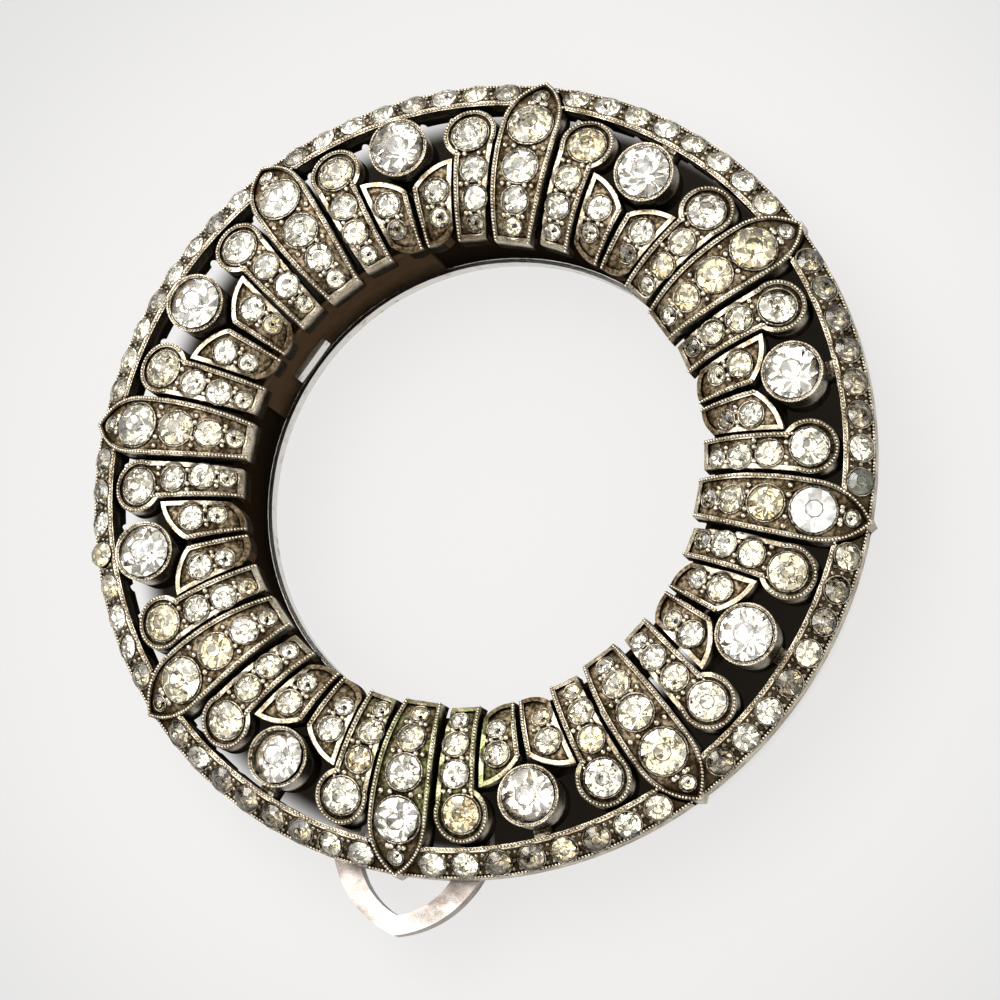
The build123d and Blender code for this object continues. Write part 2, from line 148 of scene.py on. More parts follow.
class Nodes:
    """Short names for building a material's node tree."""

    def __init__(self, name):
        self.material = bpy.data.materials.new(name)
        self.material.use_nodes = True
        self.tree = self.material.node_tree
        self.shader = self.tree.nodes["Principled BSDF"]
        coordinates = self.add("ShaderNodeTexCoord")
        self.place = coordinates.outputs["Object"]
        self.facing = coordinates.outputs["Normal"]

    def add(self, kind, inputs=None, **settings):
        made = self.tree.nodes.new(kind)
        for key, value in settings.items():
            setattr(made, key, value)
        for key, value in (inputs or {}).items():
            self.feed(made.inputs[key], value)
        return made

    def feed(self, socket, value):
        """Links a node's output to the socket, or sets a constant on it."""
        if isinstance(value, bpy.types.NodeSocket):
            self.tree.links.new(value, socket)
        else:
            socket.default_value = value

    def shade(self, **inputs):
        for key, value in inputs.items():
            self.feed(self.shader.inputs[key.replace("_", " ")], value)

    def math(self, operation, *values):
        return self.add("ShaderNodeMath", dict(enumerate(values)), operation=operation).outputs[0]

    def plus(self, first, second):
        return self.math("ADD", first, second)

    def minus(self, first, second):
        return self.math("SUBTRACT", first, second)

    def times(self, first, second):
        return self.math("MULTIPLY", first, second)

    def under(self, value, limit):
        """1 where the value is under the limit, else 0."""
        return self.math("LESS_THAN", value, limit)

    def over(self, value, limit):
        """1 where the value is over the limit, else 0."""
        return self.math("GREATER_THAN", value, limit)

    def lowered(self, value, share):
        """The value where the share is 0, down to nothing where it is 1."""
        return self.times(value, self.minus(1.0, share))

    def hypotenuse(self, across, along):
        return self.math("SQRT", self.plus(self.times(across, across), self.times(along, along)))

    def millimetres(self, metres):
        return self.math("DIVIDE", metres, MM)

    def axes(self, vector):
        return self.add("ShaderNodeSeparateXYZ", {"Vector": vector}).outputs

    def noise(self, size, detail, roughness=0.6):
        """Noise whose features are about size millimetres wide."""
        inputs = {"Vector": self.place, "Scale": 1 / (size * MM), "Detail": detail, "Roughness": roughness}
        return self.add("ShaderNodeTexNoise", inputs).outputs["Fac"]

    def swing(self, noise, width):
        """Noise as a value on both sides of 0."""
        return self.times(self.minus(noise, 0.5), width)

    def ramp(self, value, low, high, to_low=0.0, to_high=1.0):
        inputs = {"Value": value, "From Min": low, "From Max": high, "To Min": to_low, "To Max": to_high}
        return self.add("ShaderNodeMapRange", inputs, interpolation_type="SMOOTHSTEP").outputs[0]

    def blend(self, factor, below, above, blend_type="MIX"):
        """Colour from the one below, at factor 0, to the one above, at factor 1."""
        inputs = {MIX_FACTOR: factor, MIX_BELOW: below, MIX_ABOVE: above}
        mix = self.add("ShaderNodeMix", inputs, data_type="RGBA", blend_type=blend_type)
        return mix.outputs[MIX_RESULT]

    def bump(self, height, distance, strength):
        inputs = {"Height": height, "Distance": distance * MM, "Strength": strength}
        return self.add("ShaderNodeBump", inputs).outputs["Normal"]

    def crevice(self, reach):
        """1 on open faces, towards 0 in corners narrower than reach millimetres."""
        inputs = {"Distance": reach * MM}
        return self.add("ShaderNodeAmbientOcclusion", inputs, samples=4).outputs["AO"]

    def finish_silver(self):
        """Colour, metal and gloss from how clean each spot is, and on the frame also from painted shade."""
        self.shade(Base_Color=self.blend(self.cleaned, self.grime, self.metal),
                   Metallic=self.ramp(self.cleaned, 0.05, 0.6), Specular_IOR_Level=0.0,
                   Roughness=self.ramp(self.cleaned, 0.0, 1.0, GRIMY_ROUGHNESS, CLEAN_ROUGHNESS))
        return self.material


def rgb(red, green, blue):
    return (red, green, blue, 1.0)


def tarnished_silver(name, bright, worn, grime, reach, clean_from, clean_to, relief=0.015, mottle=0.6):
    """Old silver, bright where it is handled and brown in its corners: the nodes, not yet finished.

    The clean value is how clean each spot is, and on the frame it is lowered further by painted shade.
    Mottle is the share of fine grain in the metal's patches.
    """
    n = Nodes(name)
    cloud = n.noise(size=1.2, detail=4)
    grain = n.noise(size=0.16, detail=2)
    handled = n.plus(n.crevice(reach), n.swing(grain, 0.45))
    handled = n.plus(handled, n.swing(cloud, 0.6))
    n.cleaned = n.ramp(handled, clean_from, clean_to)
    patch = n.plus(n.times(cloud, 1 - mottle), n.times(grain, mottle))
    n.metal = n.blend(n.ramp(patch, *PATCH_FADE), rgb(*worn), rgb(*bright))
    # Dark colour of tarnish, which on the frame also serves as painted shade
    n.grime = rgb(*grime)
    pits = n.times(n.noise(size=0.045, detail=2), 0.3)
    n.shade(Normal=n.bump(n.plus(grain, pits), relief, TARNISH_RELIEF))
    return n


# Parts of the frame with a finish or a painted shade of their own, by radius and height
WALL_RADII = (16.6, 17.5)
WALL_TOP = 7.65
PANEL_RADIUS = 16.9
BAR_TOP = 4.6
BASE_RING_TOP = 1.05
PLATE_ENDS = 17.3
RIM_SETTING = (RIM_INNER + 0.32, 27.85)
RIM_OUTSIDE = 27.6

# By how much a field's depth under the dome may miss LIP_DROP, and how far up its face points at least
FIELD_TOLERANCE = 0.035
FIELD_FACING = 0.55

# Depths under the long plates' dome over which painted shade turns the plates' sides black, and how much
# sooner it does so at the ends
PAINTED_SHADE_DEPTH = (1.05, 1.8)
ENDS_SOONER = 0.6

# Green stain on the frame: its place as (distance, angle, height), and where it fades in
STAIN = (20.0, 176, 8.5)
STAIN_FADE = (7.5, 3.0)


def sunken_fields(n, radius, height):
    """1 at the depth of a plate's field, else 0, and the depth under the long plates' dome."""
    across = n.minus(radius, CREST_RADIUS)
    arc = n.minus(OUTER_ARC, n.times(n.under(across, 0.0), OUTER_ARC - INNER_ARC))
    field = 0.0
    for crest in (SMALL_CREST, MEDIUM_CREST, LONG_CREST):
        above = n.minus(height, n.minus(crest, arc))
        depth = n.minus(arc, n.hypotenuse(above, across))
        field = n.plus(field, n.math("COMPARE", depth, LIP_DROP, FIELD_TOLERANCE))
    return field, depth


def green_stain(n, patch):
    """How green each spot of the frame is."""
    inputs = {0: n.place, 1: clockwise(*STAIN) * MM}
    away = n.add("ShaderNodeVectorMath", inputs, operation="DISTANCE").outputs["Value"]
    return n.times(n.ramp(n.millimetres(away), *STAIN_FADE), n.ramp(patch, 0.35, 0.55))


def frame_silver():
    """Silver of the soldered frame: plain base ring, brown inner wall with painted shade, plates painted
    black with shade down their sides.
    """
    n = tarnished_silver("frame_silver", bright=(0.55, 0.485, 0.375), worn=(0.22, 0.17, 0.105),
                         grime=(0.004, 0.0025, 0.001), reach=0.8, clean_from=0.55, clean_to=0.97,
                         relief=0.03, mottle=0.35)
    axes = n.axes(n.place)
    radius = n.millimetres(n.hypotenuse(axes[0], axes[1]))
    height = n.millimetres(axes[2])
    upward = n.over(n.axes(n.facing)[2], FIELD_FACING)
    patch = n.noise(size=1.1, detail=5, roughness=0.7)

    # Brown in the sunken fields and between the rim's stones
    field, depth = sunken_fields(n, radius, height)
    worn_field = n.ramp(n.noise(size=0.3, detail=3), *PATCH_FADE, to_low=0.86, to_high=0.45)
    field = n.times(n.times(field, upward), worn_field)
    rim = n.times(n.over(radius, RIM_SETTING[0]), n.under(radius, RIM_SETTING[1]))
    field = n.math("MAXIMUM", field, n.times(rim, 0.85))

    # Painted shade: black down the sides, and sooner on the plates' inner ends where they don't face up,
    # but not on the rim's outer wall
    painted_end_shade = n.times(n.under(radius, PLATE_ENDS), n.minus(ENDS_SOONER, n.times(upward, ENDS_SOONER)))
    shade_depth = n.plus(n.plus(depth, painted_end_shade), n.times(patch, 0.5))
    sides = n.times(n.ramp(shade_depth, *PAINTED_SHADE_DEPTH), n.under(radius, RIM_OUTSIDE))

    # Plain polished base ring and bar, brown wall between them and the plates
    bar = n.times(n.under(radius, WALL_RADII[0]), n.under(height, BAR_TOP))
    plain = n.math("MAXIMUM", n.under(height, BASE_RING_TOP), bar)
    wall = n.times(n.over(radius, WALL_RADII[0]), n.under(radius, WALL_RADII[1]))
    wall = n.times(wall, n.under(height, WALL_TOP))
    # Painted shade on the sides and the wall, with the fields' tarnish, pulls the metal towards its dark
    # colour
    kept = n.lowered(n.cleaned, n.times(sides, 0.96))
    kept = n.lowered(n.lowered(kept, field), wall)
    n.cleaned = n.math("MAXIMUM", kept, plain)

    # Warm tint in the fields, and the green stain
    tint = n.blend(field, rgb(1, 1, 1), rgb(1, 0.78, 0.5))
    tint = n.blend(green_stain(n, patch), tint, rgb(0.5, 0.62, 0.34))
    n.metal = n.blend(1.0, n.metal, tint, "MULTIPLY")
    n.finish_silver()
    relief = n.shader.inputs["Normal"].links[0].from_node
    n.feed(relief.inputs["Strength"], n.minus(TARNISH_RELIEF, n.times(plain, 0.72)))

    # Painted shade on the wall: near black low down and brown higher up, and darker behind its panel, which
    # is a lighter brown than the rest; the brown is partly the wall's tarnish
    plates = n.shader.inputs["Base Color"].links[0].from_socket
    painted_wall_light = n.plus(n.ramp(height, 1.0, 5.0), n.swing(patch, 0.9))
    wall_brown_and_shade = n.blend(n.under(radius, PANEL_RADIUS), rgb(0.011, 0.007, 0.0035), rgb(0.055, 0.034, 0.018))
    colour = n.blend(wall, plates, n.blend(painted_wall_light, rgb(0.004, 0.003, 0.002), wall_brown_and_shade))
    polished = n.blend(n.ramp(patch, 0.5, 0.75), rgb(0.74, 0.72, 0.68), rgb(0.36, 0.31, 0.25))
    n.shade(Base_Color=n.blend(plain, colour, polished))
    return n.material


def leaf_silver():
    n = Nodes("leaf_silver")
    cloud = n.noise(size=2.5, detail=4)
    fine = n.noise(size=0.08, detail=2)
    worn = n.ramp(n.plus(n.times(cloud, 0.7), n.times(fine, 0.3)), 0.45, 0.62)
    n.shade(Base_Color=n.blend(worn, rgb(0.36, 0.325, 0.3), rgb(0.17, 0.14, 0.12)), Metallic=1.0,
            Roughness=n.ramp(cloud, 0.3, 0.7, to_low=0.4, to_high=0.52),
            Normal=n.bump(fine, distance=0.012, strength=0.6))
    return n.material


def pin_steel():
    n = Nodes("pin_steel")
    streak = n.noise(size=0.3, detail=3)
    n.shade(Base_Color=n.blend(streak, rgb(0.34, 0.32, 0.3), rgb(0.5, 0.48, 0.45)), Metallic=1.0,
            Roughness=0.36)
    return n.material


def paste_glass():
    n = Nodes("paste_glass")
    haze = n.noise(size=0.25, detail=2)
    n.shade(Base_Color=rgb(0.99, 0.98, 0.94), Transmission_Weight=1.0, IOR=1.6,
            Roughness=n.ramp(haze, 0.5, 0.8, to_low=0.0, to_high=0.03))
    return n.material


def painted_dark_ring_glass():
    """Tinted glass on the narrow facets round a stone's table: a painted dark reflection that shows as a
    dark ring.
    """
    n = Nodes("painted_dark_ring_glass")
    n.shade(Base_Color=rgb(0.12, 0.1, 0.07), Transmission_Weight=0.7, IOR=1.6, Roughness=0.15)
    return n.material


def foil(name, clear, spotted, spots, metallic=0.8):
    """Foil behind a stone, dark where it has perished: the lower the value of spots, the more it has."""
    n = Nodes(name)
    lost = n.ramp(n.noise(size=0.4, detail=2, roughness=0.5), spots, spots + 0.04)
    n.shade(Base_Color=n.blend(lost, rgb(*clear), rgb(*spotted)), Metallic=metallic, Roughness=0.06)
    return n.material


frame_metal = frame_silver()
bead_metal = tarnished_silver("bead_silver", bright=(0.82, 0.745, 0.61), worn=(0.36, 0.29, 0.19),
                              grime=(0.006, 0.004, 0.002), reach=0.14, clean_from=0.3,
                              clean_to=0.8).finish_silver()
# Ridge and rim-grain silver: its near-black worn patches are partly tarnish and partly painted shadow of
# the gaps round the stones
shaded_ridge_metal = tarnished_silver("shaded_ridge_silver", bright=(0.5, 0.44, 0.34), worn=(0.05, 0.037, 0.024),
                               grime=(0.006, 0.004, 0.002), reach=0.14, clean_from=0.4,
                               clean_to=0.9, relief=0.05).finish_silver()
glass = paste_glass()
painted_dark_ring = painted_dark_ring_glass()
foils = {
    "clear": foil("foil_clear", (0.97, 0.95, 0.87), (0.1, 0.08, 0.05), 0.62),
    "warm": foil("foil_warm", (0.96, 0.92, 0.79), (0.12, 0.09, 0.05), 0.6),
    "yellow": foil("foil_yellow", (0.94, 0.87, 0.68), (0.2, 0.14, 0.06), 0.6),
    "grey": foil("foil_grey", (0.55, 0.5, 0.4), (0.07, 0.055, 0.035), 0.57),
    "dark": foil("foil_dark", (0.62, 0.57, 0.44), (0.06, 0.045, 0.03), 0.5),
    "bright": foil("foil_bright", (0.99, 0.98, 0.95), (0.14, 0.11, 0.07), 0.66),
    "white": foil("foil_white", (0.99, 0.99, 0.98), (0.5, 0.5, 0.48), 0.68, metallic=0.5),
    "dead": foil("foil_dead", (0.3, 0.31, 0.24), (0.16, 0.17, 0.12), 0.45, metallic=0.2),
}
FOIL_NAMES = list(foils)

node_finishes = {"frame": frame_metal, "clip_leaf": leaf_silver(), "hinge_pin": pin_steel()}
for node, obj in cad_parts.items():
    obj.data.materials.clear()
    obj.data.materials.append(node_finishes.get(node, glass))


# Pieces

def finish_piece(name, bm, materials, smooth=True):
    """Turns a mesh in millimetres into an object that rides with the ring."""
    bmesh.ops.scale(bm, vec=(MM, MM, MM), verts=bm.verts)
    mesh = bpy.data.meshes.new(name)
    bm.to_mesh(mesh)
    bm.free()
    if smooth:
        mesh.shade_smooth()
    for material in materials:
        mesh.materials.append(material)
    piece = bpy.data.objects.new(name, mesh)
    bpy.context.collection.objects.link(piece)
    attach(piece, "ring")
    return piece


# Cut of the stones, at a girdle radius of 1
CUT_SIDES = 8
TABLE = 0.4
CROWN = 0.36
PAVILION = 0.8
CULET = 0.08
CROWN_SLOPE = math.atan2(CROWN, 1 - TABLE)
PAVILION_SLOPE = math.atan2(PAVILION, 1 - CULET)
TABLE_EDGE = 0.06
TABLE_EDGE_SLOPE = CROWN_SLOPE * 0.25

# Facets beside the main ones: their slopes as shares of the main slope, and where the half facets start
BETWEEN = 0.6
CROWN_HALVES = 1.2
PAVILION_HALVES = 1.07
HALVES_RADIUS = 0.985
HALVES_HEIGHT = 0.015

# Materials of a cut stone's faces, by number
FRONT, EDGE, BACK = range(3)


def grind(bm, out, slope, reach, height):
    """Grinds one facet: takes off what lies outside its plane and closes the cut.

    The plane goes through the point at this reach and height. Where its slope is negative it faces back.
    """
    normal = out * math.sin(abs(slope)) + Vector((0, 0, math.copysign(math.cos(slope), slope)))
    point = out * reach + Vector((0, 0, height))
    geometry = bm.verts[:] + bm.edges[:] + bm.faces[:]
    made = bmesh.ops.bisect_plane(bm, geom=geometry, dist=1e-6, plane_co=point, plane_no=normal,
                                  clear_outer=True)
    edges = [e for e in made["geom_cut"] if isinstance(e, bmesh.types.BMEdge)]
    if len(edges) > 2:
        bmesh.ops.contextual_create(bm, geom=edges)


def brilliant(name, halves):
    """Brilliant-cut stone, ground from a round blank, with or without the half facets."""
    bm = bmesh.new()
    middle = Matrix.Translation((0, 0, (CROWN - PAVILION) / 2))
    bmesh.ops.create_cone(bm, cap_ends=True, segments=2 * CUT_SIDES, radius1=1, radius2=1,
                          depth=CROWN + PAVILION, matrix=middle)
    step = 360 / CUT_SIDES
    for k in range(CUT_SIDES):
        main = clockwise(1, k * step)
        between = clockwise(1, (k + 0.5) * step)
        grind(bm, main, CROWN_SLOPE, TABLE, CROWN)
        grind(bm, between, CROWN_SLOPE * BETWEEN, TABLE * math.cos(math.radians(step / 2)), CROWN)
        grind(bm, main, -PAVILION_SLOPE, CULET, -PAVILION)
        if halves:
            for turn in (0.25, 0.75):
                out = clockwise(1, (k + turn) * step)
                grind(bm, out, CROWN_SLOPE * CROWN_HALVES, HALVES_RADIUS, HALVES_HEIGHT)
                grind(bm, out, -PAVILION_SLOPE * PAVILION_HALVES, HALVES_RADIUS, -HALVES_HEIGHT)
    for k in range(2 * CUT_SIDES):
        grind(bm, clockwise(1, k * step / 2), TABLE_EDGE_SLOPE, TABLE - TABLE_EDGE, CROWN)
    bmesh.ops.recalc_face_normals(bm, faces=bm.faces)
    for face in bm.faces:
        face.material_index = BACK if face.normal.z < 0.1 else FRONT
        if abs(face.normal.z - math.cos(TABLE_EDGE_SLOPE)) < 0.003:
            face.material_index = EDGE
    mesh = bpy.data.meshes.new(name)
    bm.to_mesh(mesh)
    bm.free()
    return mesh


fine_cut = brilliant("fine_cut", halves=True)
plain_cut = brilliant("plain_cut", halves=False)

# How a stone sits: its girdle's height above the seat, its share of the seat's radius, its tip in degrees
GIRDLE_LIFT = 0.08
STONE_SHARE = 0.985
STONE_TIP = 3.0


def set_stone(bm, place, radius, cut, backing):
    """Drops a cut stone into its seat, a little off level as hand-set stones are."""
    first_vert = len(bm.verts)
    first_face = len(bm.faces)
    bm.from_mesh(cut)
    bm.verts.ensure_lookup_table()
    bm.faces.ensure_lookup_table()
    turn = Matrix.Rotation(rng.uniform(0, math.tau), 4, "Z")
    tip = Matrix.Rotation(math.radians(rng.gauss(0, STONE_TIP)), 4, "X")
    tip = tip @ Matrix.Rotation(math.radians(rng.gauss(0, STONE_TIP)), 4, "Y")
    lift = Matrix.Translation((0, 0, GIRDLE_LIFT))
    place = place @ lift @ tip @ turn @ Matrix.Scale(radius * STONE_SHARE, 4)
    bmesh.ops.transform(bm, matrix=place, verts=bm.verts[first_vert:])
    for face in bm.faces[first_face:]:
        if face.material_index == BACK:
            face.material_index = BACK + FOIL_NAMES.index(backing)


# Stones whose foil differs from the rest: kind, sector from 0 clockwise, place in the sector
MARKED = {
    ("long", 1, 0): "yellow",
    ("long", 2, 0): "white",
    ("long", 3, 0): "warm",
    ("long", 4, 0): "bright",
    ("long_small", 1, 1): "yellow",
    ("long_small", 1, 2): "yellow",
    ("long_small", 2, 1): "yellow",
    ("long_small", 5, 1): "yellow",
    ("long_small", 4, 3): "yellow",
    ("long_small", 6, 0): "dark",
    ("long_small", 0, 0): "dark",
    ("long_small", 5, 0): "dark",
    ("long_small", 2, 3): "dark",
    ("head", 0, 0): "yellow",
    ("head", 5, 0): "yellow",
    ("head", 6, 0): "warm",
    ("head", 4, 1): "yellow",
    ("medium_small", 1, 3): "yellow",
    ("medium_small", 4, 0): "yellow",
    ("medium_small", 5, 4): "yellow",
    ("medium_small", 3, 4): "yellow",
    ("medium_small", 1, 4): "dark",
    ("medium_small", 2, 4): "dark",
    ("medium_small", 0, 5): "dark",
    ("small", 7, 3): "yellow",
    ("small", 7, 2): "dark",
    ("small", 1, 3): "dark",
    ("small", 2, 3): "dark",
    ("rim", 5, 4): "yellow",
    ("rim", 7, 6): "yellow",
    ("rim", 1, 7): "dead",
    ("rim", 1, 1): "dark",
    ("rim", 1, 2): "dark",
    ("rim", 4, 5): "dark",
    ("rim", 4, 2): "dark",
}

# Chances of the other stones' foils, and of a grey one in the rim's right and left half; the left half's
# higher chance is painted shade on that side
FOIL_CHANCES = {"clear": 12, "warm": 7, "yellow": 1}
GREY_RIGHT = 12
GREY_LEFT = 22
LAST_RIGHT_SECTOR = 3

# The one stone that has risen out of its seat, and lies flatter than the seat does
LIFTED = {("rim", 5, 4): Matrix.Translation((0, -0.15, 0.4)) @ Matrix.Rotation(math.radians(20), 4, "X")}


def backing_of(kind, sector, place):
    """Foil behind a stone. Every stone makes its draw, also where the draw isn't used."""
    grey = 0
    # The rim's left half draws grey foil more often: painted shade on that side
    if kind == "rim":
        grey = GREY_LEFT if sector > LAST_RIGHT_SECTOR else GREY_RIGHT
    drawn = rng.choices(list(FOIL_CHANCES) + ["grey"], list(FOIL_CHANCES.values()) + [grey])[0]
    return MARKED.get((kind, sector, place), "bright" if kind == "collet" else drawn)


def stones(name, nodes, kind, seats, cut):
    """One piece for all stones of a kind. Seats are a sector's, as (matrix maker, girdle radius)."""
    bm = bmesh.new()
    for sector in range(SECTORS):
        for place, (maker, radius) in enumerate(seats):
            lifted = LIFTED.get((kind, sector, place), Matrix())
            set_stone(bm, maker(sector * SECTOR) @ lifted, radius, cut, backing_of(kind, sector, place))
    piece = finish_piece(name, bm, [glass, painted_dark_ring] + list(foils.values()), smooth=False)
    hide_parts(*nodes)


def on_dome(rows, crest, mirrored=False):
    """Seats for rows of stones on a plate, and on its mirror image."""
    made = []
    for radius, angle, size in rows:
        for side in ((1, -1) if mirrored else (1,)):
            made.append((lambda line, r=radius, a=side * angle: dome_seat(r, line + a, crest), size))
    return made


def node_names(stem, count):
    return [f"{stem}_{k}" for k in range(1, count + 1)]


collet_seats = [(lambda line: collet_seat(line - PAIR_LINE), COLLET_STONE)]
long_seats = on_dome([LONG_LARGEST], LONG_CREST)
head_seats = on_dome([HEAD], MEDIUM_CREST, mirrored=True)
long_small_seats = on_dome(LONG_SMALL, LONG_CREST)
medium_small_seats = on_dome(MEDIUM_SMALL, MEDIUM_CREST, mirrored=True)
small_seats = on_dome(SMALL_PAIR, SMALL_CREST, mirrored=True)
rim_seats = [(lambda line, a=angle: rim_seat(line + a), RIM_STONE) for angle in RIM_ANGLES]
stones("collet_stones", node_names("collet_stone", SECTORS), "collet", collet_seats, fine_cut)
stones("long_plate_stones", node_names("long_plate_stone", SECTORS), "long", long_seats, fine_cut)
stones("head_stones", node_names("head_stone", 2 * SECTORS), "head", head_seats, fine_cut)
stones("long_plate_paste", ["long_plate_field"], "long_small", long_small_seats, plain_cut)
stones("medium_plate_paste", ["medium_plate_field"], "medium_small", medium_small_seats, plain_cut)
stones("small_plate_paste", ["small_plate_field"], "small", small_seats, plain_cut)
stones("rim_paste", ["rim_field"], "rim", rim_seats, plain_cut)


# Milgrain beads along the edges, and grains that hold the stones

def arc_points(start, middle, end, count=60):
    """Points on the arc through three points of the plan."""
    (ax, ay), (bx, by), (cx, cy) = start, middle, end
    d = 2 * (ax * (by - cy) + bx * (cy - ay) + cx * (ay - by))
    a2 = ax * ax + ay * ay
    b2 = bx * bx + by * by
    c2 = cx * cx + cy * cy
    centre = Vector(((a2 * (by - cy) + b2 * (cy - ay) + c2 * (ay - by)) / d,
                     (a2 * (cx - bx) + b2 * (ax - cx) + c2 * (bx - ax)) / d))
    reach = (Vector(start) - centre).length
    first, through, last = [math.atan2(*(Vector(p) - centre).yx) for p in (start, middle, end)]
    sweep = (last - first) % math.tau
    if (through - first) % math.tau > sweep:
        sweep -= math.tau
    turns = [first + sweep * k / count for k in range(count + 1)]
    return [centre + Vector((math.cos(t), math.sin(t))) * reach for t in turns]


def straight_points(start, end, count):
    return [Vector(start).lerp(Vector(end), k / count) for k in range(count + 1)]


def inset_line(points, inset):
    """Line moved to its right-hand side by inset."""
    moved = []
    for k, p in enumerate(points):
        along = (points[min(k + 1, len(points) - 1)] - points[max(k - 1, 0)]).normalized()
        moved.append(p + Vector((along.y, -along.x)) * inset)
    return moved


def evenly(points, pitch):
    """Points at an even pitch along a line in space."""
    lengths = [(b - a).length for a, b in zip(points, points[1:])]
    total = sum(lengths)
    count = max(1, round(total / pitch))
    found = []
    run = 0.0
    k = 0
    for step in range(count + 1):
        target = total * step / count
        while k < len(lengths) - 1 and run + lengths[k] < target:
            run += lengths[k]
            k += 1
        found.append(points[k].lerp(points[k + 1], min(1.0, (target - run) / lengths[k])))
    return found


def bead(bm, centre, radius):
    """Bead of 20 faces, no two of quite the same size."""
    size = radius * rng.uniform(0.9, 1.08)
    turn = Matrix.Rotation(rng.uniform(0, 3), 4, "Z")
    bmesh.ops.create_icosphere(bm, subdivisions=1, radius=size, matrix=Matrix.Translation(centre) @ turn)


def all_round(bm):
    """Repeats a sector's work round the ring."""
    geometry = bm.verts[:] + bm.edges[:] + bm.faces[:]
    bmesh.ops.spin(bm, geom=geometry, cent=(0, 0, 0), axis=(0, 0, -1), angle=math.radians(360 - SECTOR),
                   steps=SECTORS - 1, use_duplicate=True)


def beads_piece(name, bm, metal=bead_metal):
    all_round(bm)
    finish_piece(name, bm, [metal])


# Milgrain: pitch and radius of its beads, their place in from the plate's edge, and how high they stand
BEAD_PITCH = 0.235
BEAD = 0.12
BEAD_INSET = 0.13
BEAD_RISE = 0.02


def edge_beads(bm, plan, crest):
    """Beads on a plate's lip along a line of its plan, and on the mirror image of the plate."""
    line = inset_line(plan, BEAD_INSET)
    for side in (1, -1):
        points = [Vector((side * p.x, p.y, dome_height(p.length, crest) + BEAD_RISE)) for p in line]
        for point in evenly(points, BEAD_PITCH):
            bead(bm, point, BEAD)


# Points of the plates' edges in plan: the long plate's left edge, and the medium plate's far edge and head.
# The head's arc is in degrees anticlockwise from +X.
LONG_HEEL = (-1.3, 16.2)
LONG_WAIST = (-1.88, 20.3)
LONG_SHOULDER = (-2.07, 24.4)
LONG_CHEEK = (-1.5, 26.7)
LONG_TIP = (0, 28.15)
MEDIUM_NECK = (5.05, 22.18)
MEDIUM_HEEL = (3.98, 15.98)
HEAD_RADIUS = 1.88
HEAD_ARC = range(198, -42, -4)

bm = bmesh.new()
long_side = arc_points(LONG_HEEL, LONG_WAIST, LONG_SHOULDER)
long_side += arc_points(LONG_SHOULDER, LONG_CHEEK, LONG_TIP)[1:]
edge_beads(bm, long_side, LONG_CREST)
beads_piece("long_plate_milgrain", bm)

head_centre = clockwise(HEAD[0], HEAD[1]).xy
head_turns = [math.radians(turn) for turn in HEAD_ARC]
head_round = [head_centre + Vector((math.cos(t), math.sin(t))) * HEAD_RADIUS for t in head_turns]
bm = bmesh.new()
edge_beads(bm, straight_points(MEDIUM_NECK, MEDIUM_HEEL, count=40), MEDIUM_CREST)
edge_beads(bm, head_round, MEDIUM_CREST)
beads_piece("medium_plate_milgrain", bm)


def beside_pair_line(radius, gap):
    a = math.radians(PAIR_LINE)
    return Vector((radius * math.sin(a) - gap * math.cos(a), radius * math.cos(a) + gap * math.sin(a)))


# Ends of a petal plate's milgrain: radius, and distance from the pair line
PETAL_BULGE = (20.5, 0.25)
PETAL_HEEL = (16.55, 0.15)

bm = bmesh.new()
petal_side = straight_points(beside_pair_line(*PETAL_BULGE), beside_pair_line(*PETAL_HEEL), count=30)
edge_beads(bm, petal_side, SMALL_CREST)
beads_piece("small_plate_milgrain", bm)

# Milgrain of a collet: its beads, their radius, and the radius of their circle
COLLET_BEADS = 53
COLLET_BEAD = 0.09
COLLET_LIP = 2.03

bm = bmesh.new()
collet_top = clockwise(COLLET_CIRCLE, -PAIR_LINE, COLLET_TOP)
for k in range(COLLET_BEADS):
    turn = math.tau * k / COLLET_BEADS
    bead(bm, collet_top + Vector((math.cos(turn), math.sin(turn), 0)) * COLLET_LIP, COLLET_BEAD)
beads_piece("collet_milgrain", bm)

# The rim's two lines of milgrain: radius, height, and how many degrees they stop from a long plate's line
RIM_INNER_LINE = (RIM_INNER + 0.14, RIM_TOP, 4.1)
RIM_OUTER_LINE = RIM_SHOULDER + (1.2,)
RIM_STEPS = 200

bm = bmesh.new()
for radius, height, stop in (RIM_INNER_LINE, RIM_OUTER_LINE):
    turns = [stop + k * (SECTOR - 2 * stop) / RIM_STEPS for k in range(RIM_STEPS + 1)]
    points = [clockwise(radius, turn, height) for turn in turns]
    for point in evenly(points, BEAD_PITCH):
        bead(bm, point, BEAD)
beads_piece("rim_milgrain", bm)

# Raised rings round the stones: radius of their section, and how high it stands
RIDGE = 0.075
RIDGE_RISE = 0.03


def ridge(bm, place, radius):
    """Thin raised ring of metal that the graver leaves round a stone."""
    steps = 20 if radius > 1 else 14
    upright = Matrix.Rotation(math.radians(90), 4, "X")
    profile = bmesh.ops.create_circle(bm, segments=4, radius=RIDGE, matrix=upright)["verts"]
    bmesh.ops.translate(bm, vec=(radius + RIDGE, 0, RIDGE_RISE), verts=profile)

    # The edges of rings that are already in their places are tagged
    edges = [e for e in bm.edges if not e.tag]
    bmesh.ops.spin(bm, geom=profile + edges, cent=(0, 0, 0), axis=(0, 0, 1), angle=math.tau, steps=steps,
                   use_merge=True)
    verts = {v for e in bm.edges if not e.tag for v in e.verts}
    bmesh.ops.transform(bm, matrix=place, verts=list(verts))
    for edge in bm.edges:
        edge.tag = True


